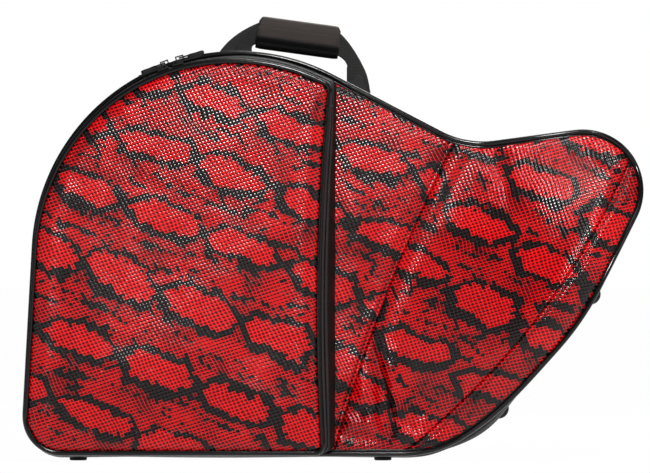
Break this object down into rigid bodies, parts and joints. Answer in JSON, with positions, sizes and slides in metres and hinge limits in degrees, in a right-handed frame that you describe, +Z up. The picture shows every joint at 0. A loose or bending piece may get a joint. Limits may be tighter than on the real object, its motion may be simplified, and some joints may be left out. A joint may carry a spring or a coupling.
{
  "type": "french horn case",
  "caption": "Soft-sided fixed-bell horn case in red and black snake-print vinyl, with a zipped lid, front pocket, padded handle and shaped interior.",
  "frame": {"origin": "middle of the case, in the plane of the feet that it stands on", "axes": "+X along the case towards the bell end, +Y towards the back, +Z up; the pocket side faces -Y"},
  "size_m": [0.6427, 0.3272, 0.4597],
  "materials": {
    "snake_vinyl": "glossy embossed vinyl with a red and black snake-scale print",
    "black_vinyl": "black grained vinyl",
    "piping_vinyl": "glossy black piping",
    "shell_board": "thin moulded board",
    "plush": "short black plush",
    "foam": "plush-covered foam",
    "tape": "black woven zipper tape",
    "coil": "black zipper coil",
    "slider_metal": "black enamelled metal",
    "webbing": "black polypropylene webbing",
    "grip_fabric": "black padded fabric",
    "foot_rubber": "black rubber"
  },
  "bodies": {
    "tray": {"tray_shell": "shell_board", "tray_cover_body": "snake_vinyl", "tray_cover_flare": "snake_vinyl", "tray_cover_rim": "snake_vinyl", "tray_side_band": "black_vinyl", "tray_piping": "piping_vinyl", "tray_lining": "plush", "tray_pad": "foam", "tray_zip_tape": "tape", "tray_zip_coil": "coil", "tray_hinge_leaf": "tape", "tray_base_feet": "foot_rubber", "tray_bell_bumpers": "foot_rubber", "coil_cradle": "foam", "throat_saddle": "foam", "bell_collar": "foam", "mouthpiece_block": "foam", "handle_anchor_left": "webbing", "handle_anchor_right": "webbing"},
    "lid": {"lid_shell": "shell_board", "lid_cover_body": "snake_vinyl", "lid_cover_flare": "snake_vinyl", "lid_cover_rim": "snake_vinyl", "lid_side_band": "black_vinyl", "lid_piping": "piping_vinyl", "lid_lining": "plush", "lid_pad": "foam", "lid_zip_tape": "tape", "lid_zip_coil": "coil", "lid_hinge_leaf": "tape", "lid_base_feet": "foot_rubber", "lid_bell_bumpers": "foot_rubber", "pocket_gusset": "black_vinyl", "pocket_zip_tape": "tape", "pocket_panel": "snake_vinyl", "pocket_piping": "piping_vinyl"},
    "pocket_flap": {"pocket_flap": "snake_vinyl", "pocket_flap_piping": "piping_vinyl"},
    "handle": {"handle_front_strap": "webbing", "handle_rear_strap": "webbing", "grip_wrap": "grip_fabric"},
    "grip_flap": {"grip_flap": "grip_fabric"},
    "main_slider_left": {"main_slider_left": "slider_metal"},
    "main_slider_left_pull": {"main_slider_left_pull": "slider_metal"},
    "main_slider_right": {"main_slider_right": "slider_metal"},
    "main_slider_right_pull": {"main_slider_right_pull": "slider_metal"},
    "pocket_slider_left": {"pocket_slider_left": "slider_metal"},
    "pocket_slider_left_pull": {"pocket_slider_left_pull": "slider_metal"},
    "pocket_slider_right": {"pocket_slider_right": "slider_metal"},
    "pocket_slider_right_pull": {"pocket_slider_right_pull": "slider_metal"}
  },
  "joints": [
    {"name": "lid_hinge", "type": "hinge", "parent": "tray", "child": "lid", "pos_m": [-0.1, -0.03, 0.0062], "axis": [1, 0, 0], "range_deg": [0, 110]},
    {"name": "pocket_flap_fold", "type": "hinge", "parent": "lid", "child": "pocket_flap", "pos_m": [-0.008, -0.1254, 0.005], "axis": [0.4128, 0, -0.9108], "range_deg": [0, 120]},
    {"name": "handle_swing", "type": "hinge", "parent": "tray", "child": "handle", "pos_m": [-0.077, 0, 0.4266], "axis": [0.9806, 0, -0.1959], "range_deg": [-20, 20]},
    {"name": "grip_flap_lift", "type": "hinge", "parent": "handle", "child": "grip_flap", "pos_m": [-0.03489, -0.0113, 0.44649], "axis": [-0.9907, 0, 0.1357], "range_deg": [0, 90]},
    {"name": "main_slider_left_run", "type": "hinge", "parent": "tray", "child": "main_slider_left", "pos_m": [-0.0986, -0.03, 0.211], "axis": [0, 1, 0], "range_deg": [-61, 0]},
    {"name": "main_slider_right_run", "type": "hinge", "parent": "tray", "child": "main_slider_right", "pos_m": [-0.0986, -0.03, 0.211], "axis": [0, 1, 0], "range_deg": [0, 12]},
    {"name": "pocket_slider_left_run", "type": "hinge", "parent": "lid", "child": "pocket_slider_left", "pos_m": [-0.10093, -0.113, 0.20925], "axis": [0, 1, 0], "range_deg": [-4, 0]},
    {"name": "pocket_slider_right_run", "type": "hinge", "parent": "lid", "child": "pocket_slider_right", "pos_m": [-0.10093, -0.113, 0.20925], "axis": [0, 1, 0], "range_deg": [0, 38]},
    {"name": "main_slider_left_pull_flip", "type": "hinge", "parent": "main_slider_left", "child": "main_slider_left_pull", "pos_m": [-0.17532, -0.03, 0.41297], "axis": [0, 1, 0], "range_deg": [0, 85]},
    {"name": "main_slider_right_pull_flip", "type": "hinge", "parent": "main_slider_right", "child": "main_slider_right_pull", "pos_m": [-0.1596, -0.03, 0.41826], "axis": [0, -1, 0], "range_deg": [0, 85]},
    {"name": "pocket_slider_left_pull_flip", "type": "hinge", "parent": "pocket_slider_left", "child": "pocket_slider_left_pull", "pos_m": [-0.17602, -0.113, 0.4069], "axis": [0, 1, 0], "range_deg": [0, 85]},
    {"name": "pocket_slider_right_pull_flip", "type": "hinge", "parent": "pocket_slider_right", "child": "pocket_slider_right_pull", "pos_m": [-0.16063, -0.113, 0.41208], "axis": [0, -1, 0], "range_deg": [0, 85]}
  ]
}
